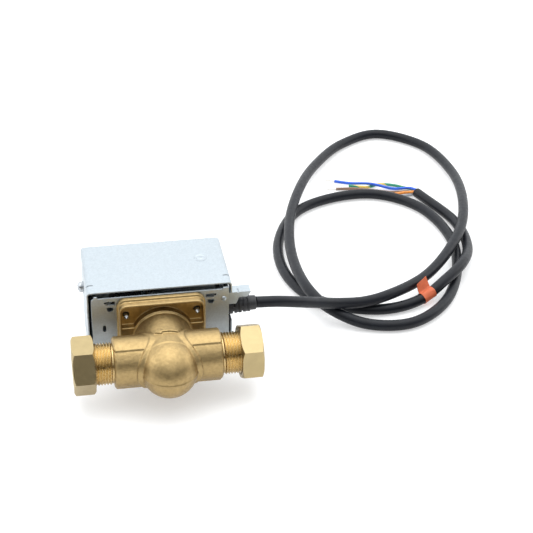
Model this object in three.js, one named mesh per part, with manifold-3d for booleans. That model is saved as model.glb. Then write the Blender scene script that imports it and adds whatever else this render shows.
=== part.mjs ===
// Motorised spring-return zone valve: a forged brass body with two 22 mm compression ports,
// and a power head in a sheet-steel box, laid on its side with its flex on the same surface.
// Millimetres. +X runs along the pipes, +Y from the brass body to the power head, +Z up.
// Everything is modelled about the valve axis, with y = 0 at the front of the base plate,
// and the last lines stand it on z = 0.

import * as THREE from 'three';
import { mergeVertices } from 'three/addons/utils/BufferGeometryUtils.js';
import Module from 'manifold-3d';

const wasm = await Module();
wasm.setup();

// ---------------------------------------------------------------- driving dimensions
const gap = 0.3; // clearance between pieces that touch

const cover = { length: 91.6, width: 59, front: 3, back: 60.5, wall: 0.8, corner: 2.4 };
const plate = { length: 86.6, width: 53.2, thick: 1.2 };
const flange = { length: 56, width: 53, thick: 3.2, corner: 6, rimInset: 1.4, rimFront: -8.2 };
const pipe = { y: -31.5, bore: 9.5, socket: 11.1 };
const barrel = { radius: 16.3, frontRadius: 15.6, half: 33.4, ledge: 14.1 };
const thread = { crest: 13.2, root: 12.3, pitch: 1.814, rings: 6, end: 50 };
const neck = { radius: 18.4, chamber: 16 };
const dome = { radius: 18, start: -41, tip: -61.8, wall: 2.6 };
const nut = { flats: 32, from: 44.8, to: 58.2, hole: 11.3 };
const stem = { z: -9, radius: 3, swing: 32 };
const ball = { x: -8.5, radius: 7.5 };
const gear = { module: 0.8, sectorTeeth: 56, pinionTeeth: 12, from: 6.2, to: 8.8 };
const motor = { x: 17.5, z: 3, radius: 23.5, from: 18.9, to: 50, ears: 26.5 };
const microswitch = { x: -21, z: 19.5, from: 11, to: 17.4, half: 10, pitch: 9.5 };
const spring = { tail: [0, -22], post: [30, -23], y: 11.7, radius: 2, wire: 0.35 };
const relief = { y: 11.8, z: 7, from: 39, to: 62.5 };
const flex = { radius: 3.75, sides: 10, steps: 78 };
const core = { radius: 1.1, sides: 8, steps: 14 };

const halfNut = nut.flats / Math.sqrt(3);
const pitchRadius = (teeth) => (gear.module * teeth) / 2;

// ---------------------------------------------------------------- materials
function finish(color, roughness, metalness) {
  return new THREE.MeshStandardMaterial({ color, roughness, metalness });
}
const brass = finish(0xc9ad74, 0.5, 0.9);
const turnedBrass = finish(0xd8c38c, 0.3, 0.9);
const zincSteel = finish(0xc9d2d8, 0.4, 0.8);
const screwSteel = finish(0xb8c4cc, 0.3, 0.9);
const springSteel = finish(0x8f959a, 0.4, 0.9);
const motorSteel = finish(0xa9adb0, 0.5, 0.7);
const blackPlastic = finish(0x1c1c1e, 0.6, 0);
const whitePlastic = finish(0xe6e2d6, 0.5, 0);
const blackRubber = finish(0x202124, 0.8, 0);
const flexJacket = finish(0x2b2d33, 0.55, 0);
const orangeLabel = finish(0xe0683a, 0.6, 0);
const coreColors = {
  blue: 0x2f62c8, brown: 0x6b4a33, green_yellow: 0x7fae4a, grey: 0x8c9094, orange: 0xd9772e,
};

// ---------------------------------------------------------------- solids
function toSolid(geometry) {
  geometry.deleteAttribute('normal');
  geometry.deleteAttribute('uv');
  const merged = mergeVertices(geometry, 1e-4);
  return new wasm.Manifold(new wasm.Mesh({
    numProp: 3,
    vertProperties: merged.attributes.position.array,
    triVerts: new Uint32Array(merged.index.array),
  }));
}

function toGeometry(solid) {
  const { vertProperties, triVerts } = solid.getMesh();
  const geometry = new THREE.BufferGeometry();
  geometry.setAttribute('position', new THREE.BufferAttribute(vertProperties, 3));
  geometry.setIndex(new THREE.BufferAttribute(triVerts, 1));
  geometry.computeVertexNormals();
  return geometry;
}

// A box from its low and high corners.
function block([x0, y0, z0], [x1, y1, z1]) {
  const geometry = new THREE.BoxGeometry(x1 - x0, y1 - y0, z1 - z0);
  return toSolid(geometry.translate((x0 + x1) / 2, (y0 + y1) / 2, (z0 + z1) / 2));
}

// A round bar along Y at (x, z).
function barY(radius, from, to, x = 0, z = 0, sides = 28) {
  const geometry = new THREE.CylinderGeometry(radius, radius, to - from, sides);
  return toSolid(geometry.translate(x, (from + to) / 2, z));
}

// A round bar along X at (y, z).
function barX(radius, from, to, y = 0, z = 0, sides = 32) {
  const geometry = new THREE.CylinderGeometry(radius, radius, to - from, sides);
  return toSolid(geometry.rotateZ(-Math.PI / 2).translate((from + to) / 2, y, z));
}

// A lathe's profile has to run anticlockwise for its faces to point outwards.
function latheOutline(profile) {
  const points = profile.map(([r, along]) => new THREE.Vector2(r, along));
  return THREE.ShapeUtils.isClockWise(points) ? points.reverse() : points;
}

// A profile of [radius, y] points turned about the Y axis at (x, z).
function turnY(profile, x = 0, z = 0, sides = 28) {
  return toSolid(new THREE.LatheGeometry(latheOutline(profile), sides).translate(x, 0, z));
}

// A profile of [radius, x] points turned about an X-wise axis at (y, z).
function turnX(profile, y = 0, z = 0, sides = 32) {
  const geometry = new THREE.LatheGeometry(latheOutline(profile), sides);
  return toSolid(geometry.rotateZ(-Math.PI / 2).translate(0, y, z));
}

// A flat shape drawn in X and Z, as thick as from..to along Y.
function sheetY(shape, from, to, curveSegments = 5) {
  const options = { depth: to - from, bevelEnabled: false, curveSegments };
  const geometry = new THREE.ExtrudeGeometry(shape, options);
  return toSolid(geometry.rotateX(Math.PI / 2).translate(0, to, 0));
}

function roundedRectangle(length, width, radius) {
  const shape = new THREE.Shape();
  const x = length / 2;
  const z = width / 2;
  shape.moveTo(-x + radius, -z);
  shape.lineTo(x - radius, -z);
  shape.absarc(x - radius, -z + radius, radius, -Math.PI / 2, 0);
  shape.lineTo(x, z - radius);
  shape.absarc(x - radius, z - radius, radius, 0, Math.PI / 2);
  shape.lineTo(-x + radius, z);
  shape.absarc(-x + radius, z - radius, radius, Math.PI / 2, Math.PI);
  shape.lineTo(-x, -z + radius);
  shape.absarc(-x + radius, -z + radius, radius, Math.PI, Math.PI * 1.5);
  return shape;
}

// A flat link with round ends, from (x0, z0) to (x1, z1).
function link(x0, z0, r0, x1, z1, r1, from, to) {
  const angle = Math.atan2(z1 - z0, x1 - x0);
  const shape = new THREE.Shape();
  shape.absarc(x0, z0, r0, angle + Math.PI / 2, angle + Math.PI * 1.5);
  shape.absarc(x1, z1, r1, angle - Math.PI / 2, angle + Math.PI / 2);
  return sheetY(shape, from, to);
}

function union(first, ...rest) {
  return rest.reduce((sum, solid) => sum.add(solid), first);
}

function cut(first, ...rest) {
  return rest.reduce((sum, solid) => sum.subtract(solid), first);
}

const model = new THREE.Group();

function place(name, solid, material) {
  const mesh = new THREE.Mesh(toGeometry(solid), material);
  mesh.name = name;
  model.add(mesh);
}

// ---------------------------------------------------------------- brass body
const flangeScrews = [[-22.3, 16], [22.3, 16], [22.3, -16], [-22.3, -16]];

// Threads are drawn as rings, so that a nut turns on them without cutting in.
function threadedTube(side) {
  const profile = [[0, barrel.half - 1], [thread.root, barrel.half - 1]];
  for (let ring = 0; ring < thread.rings; ring += 1) {
    const x = barrel.half + 0.6 + ring * thread.pitch;
    profile.push([thread.root, x], [thread.crest, x + thread.pitch / 2]);
  }
  profile.push([thread.crest, thread.end - 1], [thread.root, thread.end], [0, thread.end]);
  const tube = turnX(profile, pipe.y, 0, 20);
  return side > 0 ? tube : tube.mirror([1, 0, 0]);
}

function barrels() {
  const full = [[0, -barrel.half], [barrel.radius - 1.2, -barrel.half]];
  full.push([barrel.radius, -barrel.half + 1.2], [barrel.radius, barrel.half - 1.2]);
  full.push([barrel.radius - 1.2, barrel.half], [0, barrel.half]);
  const step = barrel.radius - barrel.frontRadius;
  const slim = full.map(([r, x]) => [Math.max(r - step, 0), x]);
  const front = block([-60, -60, -barrel.ledge], [60, pipe.y, barrel.ledge]);
  return union(cut(turnX(full, pipe.y, 0, 28), front), turnX(slim, pipe.y, 0, 28));
}

function domeProfile(radius, start, tip, steps) {
  const profile = [[0, tip]];
  for (let step = 1; step <= steps; step += 1) {
    const angle = (step / steps) * (Math.PI / 2);
    profile.push([radius * Math.sin(angle), start - (start - tip) * Math.cos(angle)]);
  }
  return profile;
}

// The raised arrow lies round the neck and points along the flow, towards -X.
function flowArrow() {
  const arrow = new THREE.Shape();
  arrow.moveTo(-7.2, -29);
  arrow.lineTo(-3, -26.6);
  arrow.lineTo(-3, -28);
  arrow.lineTo(7.6, -28);
  arrow.lineTo(7.6, -30);
  arrow.lineTo(-3, -30);
  arrow.lineTo(-3, -31.4);
  const column = new THREE.ExtrudeGeometry(arrow, { depth: 24, bevelEnabled: false });
  return toSolid(column).intersect(barY(neck.radius + 0.8, -34, -24, 0, 0, 24));
}

function bodyPocket(side) {
  const inner = roundedRectangle(flange.length - 4.4, flange.width - 5.2, 4.4);
  const recess = sheetY(inner, -30, -flange.thick - gap, 4);
  const ledge = block([-40, -40, -40], [40, 0, 8.6]);
  const pocket = cut(recess, ledge);
  return side > 0 ? pocket : pocket.mirror([0, 0, 1]);
}

function valveBody() {
  const footing = roundedRectangle(flange.length, flange.width, flange.corner);
  const foot = sheetY(footing, -flange.thick - gap, -gap, 4);
  const inset = 2 * flange.rimInset;
  const rimCorner = flange.corner - flange.rimInset;
  const rim = roundedRectangle(flange.length - inset, flange.width - inset, rimCorner);
  const rimBlock = sheetY(rim, flange.rimFront, -flange.thick, 4);
  const neckBar = barY(neck.radius, -40, -1, 0, 0, 24);
  const belt = barX(barrel.radius + 0.9, -30, 30, pipe.y, 0, 28);
  const collar = barY(20, -60, -14, 0, 0, 24).intersect(belt);
  const domeOutline = [...domeProfile(dome.radius, dome.start, dome.tip, 6), [dome.radius, -30], [0, -30]];
  const domeSolid = turnY(domeOutline, 0, 0, 24);
  const outside = union(
    cut(union(foot, rimBlock), bodyPocket(1), bodyPocket(-1)),
    neckBar, collar, domeSolid, barrels(), threadedTube(1), threadedTube(-1), flowArrow(),
  );
  const inner = domeProfile(neck.chamber, dome.start, dome.tip + dome.wall, 3);
  const mouth = neck.chamber + 1.6;
  const chamber = turnY([...inner, [neck.chamber, -6.5], [mouth, -6.5], [mouth, 1], [0, 1]], 0, 0, 20);
  const water = barX(pipe.bore, -70, 70, pipe.y, 0, 18);
  const sockets = [-1, 1].map((side) => {
    const cone = [[0, 36], [pipe.socket, 36], [pipe.socket, thread.end - 2]];
    cone.push([pipe.socket + 1.2, thread.end + 1], [0, thread.end + 1]);
    const solid = turnX(cone, pipe.y, 0, 20);
    return side > 0 ? solid : solid.mirror([1, 0, 0]);
  });
  const holes = flangeScrews.map(([x, z]) => barY(1.9, -12, 2, x, z, 8));
  return cut(outside, chamber, water, ...sockets, ...holes);
}

function seatRing() {
  const face = -14.7;
  const outer = pipe.bore - gap;
  const lip = [[4.8, face], [6.2, face - 0.1], [outer, face - 2.2]];
  const profile = [...lip, [outer, -22], [4.8, -22], [4.8, face]];
  return turnX(profile, pipe.y, 0, 18);
}

// ---------------------------------------------------------------- inside the body
function bonnet() {
  const lid = barY(neck.chamber + 1.3, -6.2, -0.6, 0, 0, 24);
  const boss = barY(6.4, -16, -5, 0, stem.z, 18);
  const sealGroove = cut(barY(20, -4.6, -2.6, 0, 0, 24), barY(neck.chamber - 0.6, -5, -2, 0, 0, 24));
  const bore = barY(stem.radius + gap, -20, 2, 0, stem.z, 16);
  const ringSeats = [-9.2, -13.2].map((y) => barY(5.3, y - 1.2, y + 1.2, 0, stem.z, 16));
  return cut(union(lid, boss), sealGroove, bore, ...ringSeats);
}

function ringSeal(inside, outside, y, x, z, sides) {
  const section = (outside - inside) / 2;
  const middle = (outside + inside) / 2;
  const geometry = new THREE.TorusGeometry(middle, section, 5, sides);
  return toSolid(geometry.rotateX(Math.PI / 2).translate(x, y, z));
}

function valveStem() {
  const shaft = barY(stem.radius, -19.8, 5.4, 0, stem.z, 16);
  const foot = barY(2.2, -23.4, -19, 0, stem.z, 16);
  const head = cut(barY(2.5, 5, 12.2, 0, stem.z, 16), block([1.7, 5.4, stem.z - 9], [4, 14, stem.z + 9]));
  return union(shaft, foot, head);
}

function paddleArm() {
  const bar = link(0, stem.z, 4.6, ball.x, 0, 3.6, -22.6, -20.1);
  const pin = barY(1.8, -40.6, -22, ball.x, 0, 16);
  const rivet = barY(3.2, -41.2, -39.9, ball.x, 0, 16);
  return cut(union(bar, pin, rivet), barY(2.5, -24, -19, 0, stem.z, 16));
}

function rubberBall() {
  const geometry = new THREE.SphereGeometry(ball.radius, 16, 10).translate(ball.x, pipe.y, 0);
  return cut(toSolid(geometry), barY(2.1, -45, -15, ball.x, 0, 16));
}

// ---------------------------------------------------------------- compression nuts
function compressionNut(side, turn) {
  const hexagon = new THREE.CylinderGeometry(halfNut, halfNut, nut.to - nut.from, 6);
  const middle = (nut.from + nut.to) / 2;
  hexagon.rotateZ(-Math.PI / 2).rotateX(turn).translate(middle, pipe.y, 0);
  const crown = [[0, nut.from], [halfNut - 1.9, nut.from], [halfNut + 0.2, nut.from + 1.3]];
  crown.push([halfNut + 0.2, nut.to - 1.3], [halfNut - 1.9, nut.to], [0, nut.to]);
  const hole = [[0, nut.from - 1], [thread.crest + 1, nut.from - 1], [thread.crest + gap, nut.from + 1]];
  hole.push([thread.crest + gap, 52], [nut.hole, 54.6], [nut.hole, nut.to + 1], [0, nut.to + 1]);
  const chamfered = toSolid(hexagon).intersect(turnX(crown, pipe.y, 0, 30));
  const solid = cut(chamfered, turnX(hole, pipe.y, 0, 24));
  return side > 0 ? solid : solid.mirror([1, 0, 0]);
}

function olive(side) {
  const profile = [[11.15, 50.4], [12, 50.4], [12.9, 51.6], [11.6, 54], [11.15, 54], [11.15, 50.4]];
  const solid = turnX(profile, pipe.y, 0, 20);
  return side > 0 ? solid : solid.mirror([1, 0, 0]);
}

// ---------------------------------------------------------------- chassis of the power head
function basePlate() {
  const half = plate.length / 2;
  const top = plate.width / 2;
  const panel = sheetY(roundedRectangle(plate.length, plate.width, 1.5), 0, plate.thick);
  const leftBump = block([-41.8, 0, top - 2], [-39.4, plate.thick, top + 1.3]);
  const rightStep = block([39.8, 0, top - 2], [half, plate.thick, top + 1]);
  const ear = block([-half, 0, 2], [-half + plate.thick, 54, 20]);
  const leverWindow = block([-half - 1, plate.thick + gap, 0], [-half + 3, 6.2, 12.5]);
  const lug = cut(ear, leverWindow);
  const holes = [-1, 1].flatMap((side) => [
    barY(0.8, -1, 3, side * 34.6, 23.3, 8),
    barY(2.1, -1, 3, side * 31.7, 18.8, 14).intersect(block([-50, -1, 10], [50, 3, 19.9])),
    block([side * 31.2 - 2.6, -1, 21.6], [side * 31.2 + 2.6, 3, 24.2]),
  ]);
  const slot = union(
    barY(1, -1, 3, -35.8, 2.8, 10), barY(1, -1, 3, -35.8, 5.8, 10),
    block([-36.8, -1, 2.8], [-34.8, 3, 5.8]),
  );
  const stemHole = barY(8, -1, 3, 0, stem.z, 20);
  const screwHoles = flangeScrews.map(([x, z]) => barY(1.9, -1, 3, x, z, 8));
  const rivet = toSolid(new THREE.SphereGeometry(1.7, 12, 6).scale(1, 0.5, 1).translate(40, 0, 19.7));
  return cut(union(panel, leftBump, rightStep, lug, rivet), ...holes, slot, stemHole, ...screwHoles);
}

// A tongue pressed out of the plate, standing away from its window.
function lancedTab(side) {
  const tongue = new THREE.BoxGeometry(6, 0.9, 1.6).rotateY(side * 0.75);
  return toSolid(tongue.translate(side * 31.4, 3.4, 21.8));
}

function headScrew([x, z]) {
  const shank = barY(1.6, -6.4, plate.thick + 1, x, z, 8);
  const point = turnY([[0, -8.2], [1.6, -6.2], [0, -6.2]], x, z, 8);
  const head = barY(3, plate.thick + gap, plate.thick + 2.1, x, z, 14);
  const slot = block([x - 1.8, 2.6, z - 0.35], [x + 1.8, 6, z + 0.35]);
  const crossSlot = block([x - 0.35, 2.6, z - 1.8], [x + 0.35, 6, z + 1.8]);
  return cut(union(shank, point, head), slot, crossSlot);
}

function cableBracket() {
  const sheet = new THREE.Shape();
  sheet.moveTo(35.4, 12.4);
  sheet.lineTo(48.6, 12.4);
  sheet.lineTo(50.4, 17.2);
  sheet.lineTo(55.6, 17.2);
  sheet.lineTo(57.6, 19.4);
  sheet.lineTo(58, 21);
  sheet.lineTo(35.4, 21);
  const face = sheetY(sheet, 4, 4.9);
  const lip = block([41, 4, 20.1], [58, 12, 21]);
  const foot = block([35.4, plate.thick + gap, 12.4], [38.4, 4.9, 21]);
  return cut(union(face, lip, foot), block([49.5, 3, 20.5], [50.3, 8, 22]));
}

// ---------------------------------------------------------------- drive
function gearShape(teeth, x, z, phase) {
  const shape = new THREE.Shape();
  const radius = pitchRadius(teeth);
  const outer = radius + gear.module * 0.7;
  const inner = radius - gear.module * 1.1;
  for (let tooth = 0; tooth < teeth; tooth += 1) {
    const corners = [[-0.42, inner], [-0.13, outer], [0.13, outer], [0.42, inner]];
    corners.forEach(([share, r], corner) => {
      const angle = phase + ((tooth + share) / teeth) * 2 * Math.PI;
      const point = [x + r * Math.cos(angle), z + r * Math.sin(angle)];
      if (tooth === 0 && corner === 0) shape.moveTo(...point);
      else shape.lineTo(...point);
    });
  }
  return shape;
}

// The sector gear keeps a fan of teeth that faces the pinion, and a hub on the stem.
const drive = pinionPlace();
function pinionPlace() {
  const reach = pitchRadius(gear.sectorTeeth) + pitchRadius(gear.pinionTeeth) + 0.15;
  const z = motor.z;
  const x = Math.sqrt(reach ** 2 - (stem.z - z) ** 2);
  return { x, z, angle: Math.atan2(z - stem.z, x) };
}

// At rest the finger waits beside the end switch, and the tail holds the spring's pin.
const finger = { reach: 21.7, angle: (129.9 * Math.PI) / 180 };

function sectorGear() {
  const wheel = sheetY(gearShape(gear.sectorTeeth, 0, stem.z, drive.angle), gear.from, gear.to);
  const fan = new THREE.Shape();
  const spread = (stem.swing * Math.PI) / 180;
  fan.moveTo(0, stem.z);
  [-0.3, spread / 2, spread + 0.3].forEach((turn) => {
    const angle = drive.angle + turn;
    fan.lineTo(30 * Math.cos(angle), stem.z + 30 * Math.sin(angle));
  });
  const teeth = wheel.intersect(sheetY(fan, gear.from, gear.to));
  const hub = barY(5.4, gear.from, 11.4, 0, stem.z, 18);
  const fingerX = finger.reach * Math.cos(finger.angle);
  const fingerZ = stem.z + finger.reach * Math.sin(finger.angle);
  const arm = link(0, stem.z, 4.6, fingerX, fingerZ, 2.2, gear.from, gear.to);
  const fingerPin = barY(1.4, gear.to - 1, 15.6, fingerX, fingerZ, 10);
  const [tailX, tailZ] = spring.tail;
  const tail = link(0, stem.z, 4.6, tailX, tailZ, 2.4, gear.from, gear.to);
  const tailPin = barY(1.1, gear.to - 1, spring.y + 1.6, tailX, tailZ, 10);
  const flat = block([2, 4, stem.z - 9], [5, 14, stem.z + 9]);
  const hole = cut(barY(2.8, 4, 14, 0, stem.z, 16), flat);
  return cut(union(teeth, hub, arm, fingerPin, tail, tailPin), hole);
}

function motorPinion() {
  const phase = drive.angle + Math.PI + Math.PI / gear.pinionTeeth;
  const teeth = gearShape(gear.pinionTeeth, drive.x, drive.z, phase);
  const wheel = sheetY(teeth, gear.from - 0.4, gear.to + 0.6);
  const shaft = barY(1.6, 5, motor.from - 0.6, drive.x, drive.z, 14);
  return union(wheel, shaft);
}

const posts = [[38, -20], [38, 24], [-6, 24]];

// Two ears on the motor's rim, at opposite ends of a line through its centre.
const ears = [155, -25].map((degrees) => {
  const angle = (degrees * Math.PI) / 180;
  return [motor.x + motor.ears * Math.cos(angle), motor.z + motor.ears * Math.sin(angle)];
});

function motorPlate() {
  const panel = sheetY(roundedRectangle(52, 51, 3), 17.4, 18.6, 3).translate([16.4, 0, 1.2]);
  const postHoles = posts.map(([x, z]) => barY(1.7, 10, 24, x, z, 10));
  const earHoles = ears.map(([x, z]) => barY(1.7, 10, 24, x, z, 10));
  return cut(panel, barY(3.4, 10, 24, drive.x, drive.z, 16), ...postHoles, ...earHoles);
}

function post([x, z]) {
  return union(barY(2.6, plate.thick + gap, 17.1, x, z, 12), barY(1.3, 17, 19.8, x, z, 8));
}

function motorCase() {
  const rim = motor.radius + 1.5;
  const flangeTop = motor.from + 1;
  const profile = [[0, motor.from], [rim, motor.from], [rim, flangeTop], [motor.radius, flangeTop]];
  profile.push([motor.radius, motor.to - 1.5], [motor.radius - 1.5, motor.to], [0, motor.to]);
  const can = turnY(profile, motor.x, motor.z, 32);
  const lugs = ears.map(([x, z]) => link(motor.x, motor.z, 9, x, z, 3, motor.from, motor.from + 1));
  const floor = motor.from + 8;
  const wide = motor.radius - 1;
  const inside = [[0, floor], [wide, floor], [wide, motor.to - 1], [0, motor.to - 1]];
  const windowLow = [motor.x - 30, motor.to - 9, motor.z - 8];
  const window = block(windowLow, [motor.x - 15, motor.to - 4, motor.z + 8]);
  const shaftHole = barY(2.2, 10, floor + 1, drive.x, drive.z, 14);
  const earHoles = ears.map(([x, z]) => barY(1.7, 10, 24, x, z, 10));
  return cut(union(can, ...lugs), turnY(inside, motor.x, motor.z, 24), window, shaftHole, ...earHoles);
}

function motorCoil() {
  const bobbin = barY(motor.radius - 1.6, motor.from + 8.4, motor.to - 1.6, motor.x, motor.z, 24);
  return cut(bobbin, barY(10, 20, 60, motor.x, motor.z, 20));
}

function motorRotor() {
  const drum = barY(9, motor.from + 8.6, motor.to - 2.4, motor.x, motor.z, 20);
  return cut(drum, barY(1.6, 40, 60, motor.x, motor.z, 12));
}

function motorScrew([x, z]) {
  const shank = barY(1.4, 16, motor.from + 1.6, x, z, 10);
  const head = barY(2.2, motor.from + 1 + gap, motor.from + 2.8, x, z, 14);
  return cut(union(shank, head), block([x - 3, motor.from + 2.1, z - 0.3], [x + 3, motor.from + 4, z + 0.3]));
}

// The lever lies across the plate and comes out through the slot in the cover's left wall.
function manualLever() {
  const reach = 55.3;
  const angle = (192.5 * Math.PI) / 180;
  const tipX = reach * Math.cos(angle);
  const tipZ = stem.z + reach * Math.sin(angle);
  const arm = link(0, stem.z, 6.2, tipX, tipZ, 3.2, 3.6, 4.8);
  return cut(arm, barY(stem.radius + gap, 0, 8, 0, stem.z, 16));
}

// ---------------------------------------------------------------- end switch
const switchHoles = [-1, 1].map((side) => {
  const x = microswitch.x + (side * microswitch.pitch) / 2;
  return [x, microswitch.z + 1.5];
});

function switchBody() {
  const { x, z, from, to, half } = microswitch;
  const body = block([x - half, from, z - 5.1], [x + half, to, z + 5.1]);
  const holes = switchHoles.map(([holeX, holeZ]) => barY(1.2, 5, 30, holeX, holeZ, 12));
  const plungerHole = block([x + 1.4, from + 1.6, z - 7], [x + 4.6, to - 1.6, z - 1.2]);
  return cut(body, ...holes, plungerHole);
}

function switchScrew([x, z]) {
  const { from, to } = microswitch;
  const shank = barY(0.9, from - 2, to + 0.8, x, z, 10);
  const head = barY(1.9, to + gap, to + 1.8, x, z, 14);
  return cut(union(shank, head), block([x - 3, to + 1.2, z - 0.25], [x + 3, to + 3, z + 0.25]));
}

function switchPost([x, z]) {
  const { from } = microswitch;
  const tube = barY(2.4, plate.thick + gap, from - gap, x, z, 12);
  return cut(tube, barY(1.2, from - 4, from + 1, x, z, 10));
}

function switchTerminal(dx) {
  const { x, z, from, to } = microswitch;
  const middle = (from + to) / 2;
  const start = z + 5.1 + gap;
  return block([x + dx - 1.4, middle - 0.3, start], [x + dx + 1.4, middle + 0.3, start + 2.4]);
}

function switchPlunger() {
  const { x, z, from, to } = microswitch;
  return block([x + 1.7, from + 1.9, z - 6.7], [x + 4.3, to - 1.9, z - 2.6]);
}

// The switch's blade is hinged at its left end and reaches over the sector's finger.
function switchLever() {
  const { x, z, from, to, half } = microswitch;
  const blade = block([x - half, from + 1.5, z - 7.5], [-2, to - 1.5, z - 7]);
  const knuckle = block([x - half, from + 1.5, z - 7.5], [x - half + 1.2, to - 1.5, z - 5.4]);
  return union(blade, knuckle);
}

// ---------------------------------------------------------------- return spring
function springPost() {
  const [x, z] = spring.post;
  const pin = barY(1.1, plate.thick + gap, spring.y + 1.6, x, z, 10);
  const collar = barY(2.2, plate.thick + gap, 8.6, x, z, 12);
  return union(pin, collar);
}

// Close coils of wire from the sector's tail to the post.
function returnSpring() {
  const start = new THREE.Vector3(spring.tail[0], spring.y, spring.tail[1]);
  const along = new THREE.Vector3(spring.post[0], spring.y, spring.post[1]).sub(start);
  const span = along.length();
  along.normalize();
  const across = new THREE.Vector3(0, 1, 0).cross(along);
  const coils = 9;
  const steps = coils * 6;
  const points = [];
  for (let step = 0; step <= steps; step += 1) {
    const turn = (step / 6) * 2 * Math.PI;
    const point = start.clone().addScaledVector(along, 4 + (step / steps) * (span - 8));
    point.addScaledVector(across, spring.radius * Math.cos(turn));
    point.y += spring.radius * Math.sin(turn);
    points.push(point);
  }
  const wire = new THREE.Shape().absarc(0, 0, spring.wire, 0, Math.PI * 2);
  const path = new THREE.CatmullRomCurve3(points);
  const options = { steps, extrudePath: path, bevelEnabled: false, curveSegments: 2 };
  return toSolid(new THREE.ExtrudeGeometry(wire, options));
}

// ---------------------------------------------------------------- cover
function coverShell() {
  const { length, width, front, back, wall, corner } = cover;
  const outside = sheetY(roundedRectangle(length, width, corner), front, back);
  const lining = roundedRectangle(length - 2 * wall, width - 2 * wall, corner - wall);
  const inside = sheetY(lining, front - 1, back - wall);
  const half = length / 2;
  const leverNotch = block([-half - 1, front - 1, -26], [-half + 2, front + 3.6, 18]);
  const cableNotch = block([half - 2, front - 1, 0.4], [half + 1, relief.y + 7, 21.6]);
  const screwHole = barX(2.4, -half - 1, -half + 2, 46, 7.6, 16);
  const slits = [-1, 1].map((side) => {
    const inner = side * (half - 4.6);
    const outer = side * (half + 1);
    const [low, high] = [Math.min(inner, outer), Math.max(inner, outer)];
    return block([low, 11.6, width / 2 - 1], [high, 12.4, width / 2 + 1]);
  });
  return cut(outside, inside, leverNotch, cableNotch, screwHole, ...slits);
}

function coverScrew() {
  const head = -cover.length / 2 - 1.2;
  const tip = -plate.length / 2 - gap;
  const profile = [[0, tip], [1.7, tip], [1.7, head], [3.6, head], [3.5, head - 0.9], [2.6, head - 2.2]];
  profile.push([0, head - 2.8]);
  const screw = turnX(profile, 46, 7.6, 18);
  return cut(screw, block([head - 4, 43, 7.2], [head - 1.8, 49, 8]));
}

function coverWasher() {
  const outer = -cover.length / 2 - gap;
  return cut(barX(3.9, outer - 0.6, outer, 46, 7.6, 18), barX(2, outer - 2, outer + 2, 46, 7.6, 14));
}

// ---------------------------------------------------------------- flex
function strainRelief() {
  const { from, to } = relief;
  const hole = 4.1;
  const profile = [[hole, from], [5.2, from], [5.2, 43.8], [6.2, 44.2], [6.2, 47], [4.7, 47.3]];
  [[48.4, 5.9], [51.2, 5.8], [54, 5.6], [56.8, 5.5]].forEach(([x, r]) => {
    profile.push([4.7, x], [r, x], [r, x + 1.7], [4.7, x + 1.7]);
  });
  profile.push([4.6, to], [hole, to], [hole, from]);
  return turnX(profile, relief.y, relief.z, 14);
}

// The flex's route: out of the relief, down to the table, and round two loose loops.
const table = -cover.width / 2;
const low = table + flex.radius + 0.4;
const route = [
  [relief.to + gap, relief.y, relief.z], [76, 12.8, 5.6], [92, 18, 0.2], [108, 26, -7.2], [124, 32.4, -13.4],
  [141, 36.5, -16.6], [158, 42, -17.1], [194, 67, -19.2], [229, 111, -16.2], [247.5, 157, -17],
  [257.5, 224, -23.4], [246, 275, low], [214, 298.5, low], [182, 284.5, low], [152, 247, -22.8],
  [129.5, 201, -18], [111.5, 148, -17], [104.7, 98, -17.4], [108, 56, -16.9], [118, 37, -20],
  [140, 22.5, -24.9], [170, 19, low], [199, 39, low], [221.5, 83, low], [228.5, 129, low],
  [217, 173.5, low], [190, 196.5, low], [158, 197, low], [124.5, 180, low], [101.5, 137, low],
  [98.5, 93, low], [111, 60, low], [133, 44, low], [160, 38.5, low], [184, 44.5, -24],
  [205, 57.5, -18.2], [222, 74.5, -16.6], [235.5, 105, -21.9], [238.5, 147, low], [222, 194.6, low],
];

// A paper band wrapped round the flex near its far end, with its ends stuck together as a flag.
function cableLabel() {
  const start = new THREE.Vector3(185, 44.9, -23.9);
  const end = new THREE.Vector3(193.6, 49.5, -21.7);
  const path = new THREE.LineCurve3(start, end);
  const band = new THREE.Shape().absarc(0, 0, 4.9, 0, Math.PI * 2);
  band.holes.push(new THREE.Path().absarc(0, 0, 4.6, 0, Math.PI * 2, true));
  const options = { steps: 1, extrudePath: path, bevelEnabled: false, curveSegments: 8 };
  return toSolid(new THREE.ExtrudeGeometry(band, options));
}

// The cores fan out of the flex's end and lie on the table.
const ground = table + core.radius + 0.2;
const coreRoutes = {
  blue: [[221.7, 195.4, -23.3], [218, 202.8, -25.4], [207, 208.5, -28.2], [190, 214.6, -25.8],
    [175, 222.3, ground], [163.5, 227.4, ground]],
  brown: [[222.8, 195.9, -26.9], [215.5, 202.6, ground], [204, 203.4, ground], [190.5, 208.2, ground],
    [176, 213, ground], [162, 214.8, ground]],
  green_yellow: [[223.5, 196.1, -24.7], [220.5, 205, -27.8], [208.5, 214, ground], [197, 217.3, ground],
    [188, 214.2, ground], [173, 218.3, ground]],
  grey: [[220.7, 195.1, -26.9], [214.5, 196.6, ground], [203, 196.7, ground], [192, 201.6, ground],
    [178, 204.4, ground], [166, 204, ground]],
  orange: [[220, 194.9, -24.6], [213.6, 199.9, -27.6], [203.5, 200.2, ground], [192.8, 204.6, ground],
    [178, 207.2, ground], [168, 207.4, ground]],
};

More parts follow.
